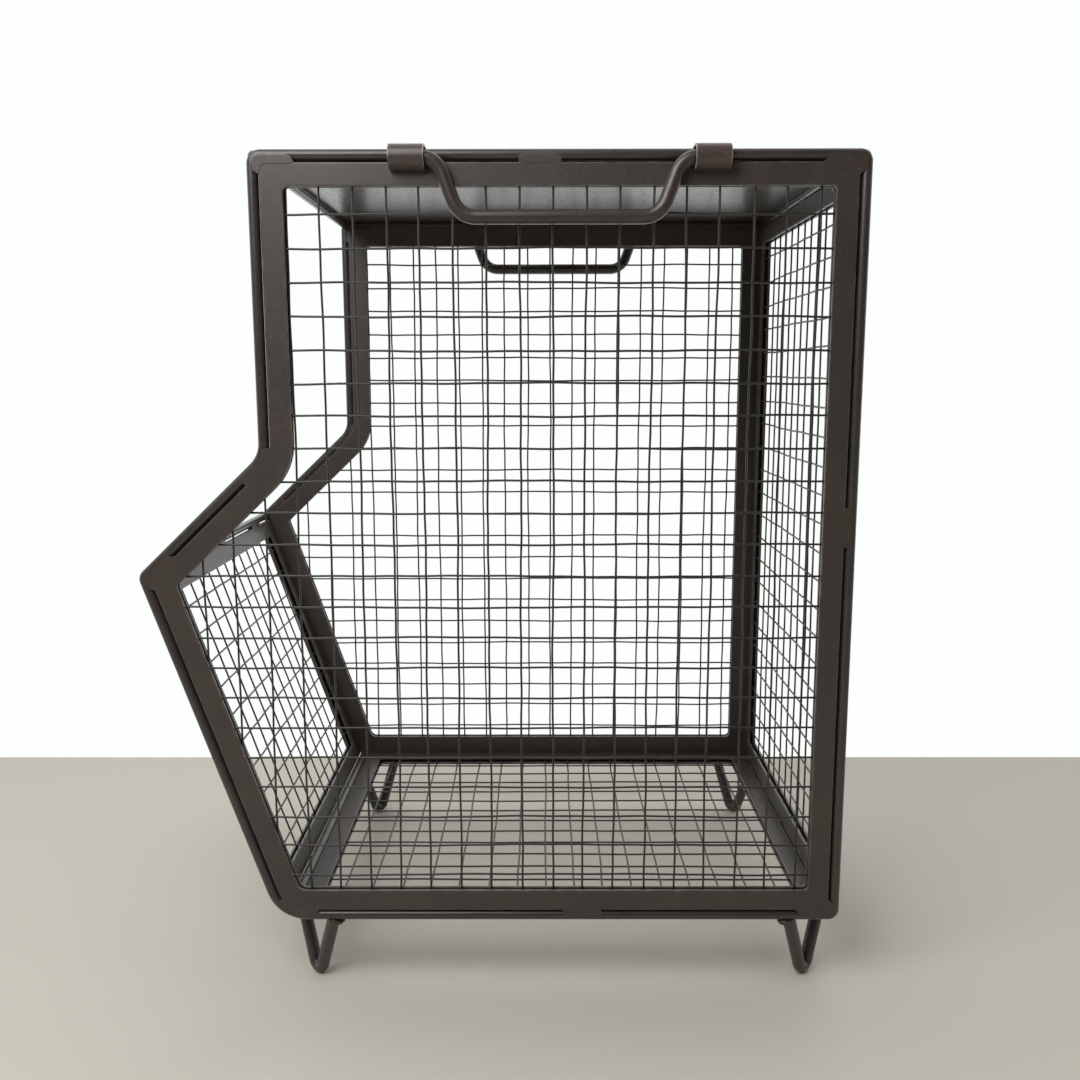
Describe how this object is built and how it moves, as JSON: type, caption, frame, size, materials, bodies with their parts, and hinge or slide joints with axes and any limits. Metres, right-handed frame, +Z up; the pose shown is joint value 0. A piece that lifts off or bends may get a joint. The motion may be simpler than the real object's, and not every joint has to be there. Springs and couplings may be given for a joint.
{
  "type": "wire mesh storage bin",
  "caption": "Upright wire mesh storage bin with a scoop front, sheet top, hairpin feet and a swinging drop handle on each side.",
  "frame": {"origin": "middle of the bin's overall box, on the surface that the feet stand on", "axes": "+X to the right seen from the scoop front, +Y from the scoop front to the back, +Z up"},
  "size_m": [0.3132, 0.4295, 0.5118],
  "materials": {
    "frame_rod": "semi-gloss dark bronze-brown paint on steel rod",
    "flat_strip": "semi-gloss dark bronze-brown paint on flat steel strip",
    "mesh_wire": "dark paint on thin welded wire",
    "top_sheet": "semi-gloss dark paint on sheet steel",
    "weld": "painted ground weld",
    "handle_rod": "semi-gloss dark paint on steel rod",
    "foot_rod": "semi-gloss dark paint on steel rod",
    "clip_strap": "semi-gloss dark bronze-brown paint on bent strap"
  },
  "bodies": {
    "frame": {"back_inner_strip": "flat_strip", "back_mesh": "mesh_wire", "back_outer_strip": "flat_strip", "back_welds": "weld", "bottom_back_rod": "frame_rod", "bottom_front_rod": "frame_rod", "floor_inner_strip": "flat_strip", "floor_mesh": "mesh_wire", "floor_outer_strip": "flat_strip", "floor_welds": "weld", "left_back_clip": "clip_strap", "left_back_foot": "foot_rod", "left_frame_welds": "weld", "left_front_clip": "clip_strap", "left_front_foot": "foot_rod", "left_inner_strip": "flat_strip", "left_mesh": "mesh_wire", "left_outer_strip": "flat_strip", "left_rim_rod": "frame_rod", "lip_rod": "frame_rod", "right_back_clip": "clip_strap", "right_back_foot": "foot_rod", "right_frame_welds": "weld", "right_front_clip": "clip_strap", "right_front_foot": "foot_rod", "right_inner_strip": "flat_strip", "right_mesh": "mesh_wire", "right_outer_strip": "flat_strip", "right_rim_rod": "frame_rod", "scoop_inner_strip": "flat_strip", "scoop_mesh": "mesh_wire", "scoop_outer_strip": "flat_strip", "scoop_welds": "weld", "top_back_rod": "frame_rod", "top_front_rod": "frame_rod", "top_sheet": "top_sheet"},
    "right_handle": {"right_handle": "handle_rod"},
    "left_handle": {"left_handle": "handle_rod"}
  },
  "joints": [
    {"name": "right_handle_swing", "type": "hinge", "parent": "frame", "child": "right_handle", "pos_m": [0.1496, 0.03746, 0.5048], "axis": [0, -1, 0], "range_deg": [0, 184]},
    {"name": "left_handle_swing", "type": "hinge", "parent": "frame", "child": "left_handle", "pos_m": [-0.1496, 0.03746, 0.5048], "axis": [0, 1, 0], "range_deg": [0, 184]}
  ]
}
